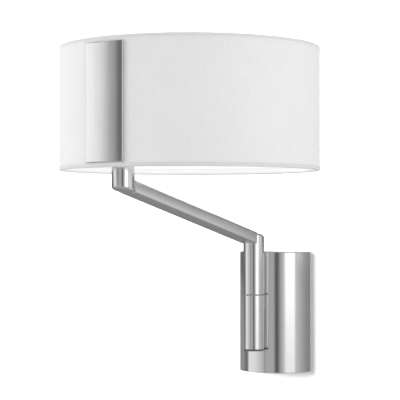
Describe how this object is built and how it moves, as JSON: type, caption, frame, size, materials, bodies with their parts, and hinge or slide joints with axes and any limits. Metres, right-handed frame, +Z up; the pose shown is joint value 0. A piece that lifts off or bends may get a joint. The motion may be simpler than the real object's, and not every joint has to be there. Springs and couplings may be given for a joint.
{
  "type": "swing arm wall sconce",
  "caption": "Wall lamp with a half-round wall cover, a swivelling tube post, a slanted arm and a wide fabric drum shade carried from one side by a metal plate.",
  "frame": {"origin": "middle of the two wall screw slots, on the wall plane", "axes": "+Y into the wall, -Y into the room, +Z up, +X to the right when facing the wall"},
  "size_m": [0.2499, 0.2833, 0.3205],
  "materials": {
    "satin_nickel": "satin nickel plate over steel, finely brushed",
    "zinc_steel": "bright zinc plated steel",
    "brass_part": "turned brass",
    "nylon": "grey nylon",
    "black_rubber": "matte",
    "white_plastic": "white moulded plastic",
    "cable_sheath": "white silicone sheath",
    "ceramic": "unglazed ceramic",
    "bulb_aluminium": "rolled thread",
    "opal_glass": "opal white",
    "shade_cloth": "fine white plain weave",
    "shade_liner": "white lampshade film",
    "ring_wire": "white coated wire"
  },
  "bodies": {
    "wall_unit": {"wall_plate": "zinc_steel", "wall_cover": "satin_nickel", "cover_screws": "zinc_steel", "cover_backing": "zinc_steel", "saddle": "satin_nickel", "saddle_screws": "zinc_steel", "lower_post": "satin_nickel", "post_core": "zinc_steel", "lower_cap": "black_rubber", "swivel_plug": "brass_part", "swivel_nipple": "zinc_steel", "joint_washer": "nylon", "spring_washer": "zinc_steel", "swivel_nuts": "brass_part", "stop_pin": "zinc_steel", "cable_grommet": "black_rubber", "terminal_block": "white_plastic", "terminal_clamps": "brass_part", "terminal_screws": "zinc_steel", "terminal_block_screw": "zinc_steel", "earth_terminal": "brass_part", "supply_cable": "cable_sheath"},
    "swing_arm": {"upper_post": "satin_nickel", "arm_bar": "satin_nickel", "shade_stub": "satin_nickel", "swivel_bush": "brass_part", "bush_screw": "zinc_steel", "stub_plug": "satin_nickel", "holder_nipple": "zinc_steel", "holder_nut": "zinc_steel", "holder_cap": "white_plastic", "holder_barrel": "white_plastic", "holder_insert": "ceramic", "holder_contacts": "brass_part", "bulb_cap": "bulb_aluminium", "bulb_glass": "opal_glass", "shade_fabric": "shade_cloth", "shade_liner": "shade_liner", "shade_top_ring": "ring_wire", "shade_bottom_ring": "ring_wire", "shade_plate": "satin_nickel", "plate_studs": "zinc_steel", "backing_strip": "satin_nickel", "shade_spacers": "satin_nickel", "plate_nuts": "zinc_steel", "arm_cable": "cable_sheath"}
  },
  "joints": [
    {"name": "arm_swing", "type": "hinge", "parent": "wall_unit", "child": "swing_arm", "pos_m": [0, -0.051, 0.018], "axis": [0, 0, 1], "range_deg": [-35, 49]}
  ]
}
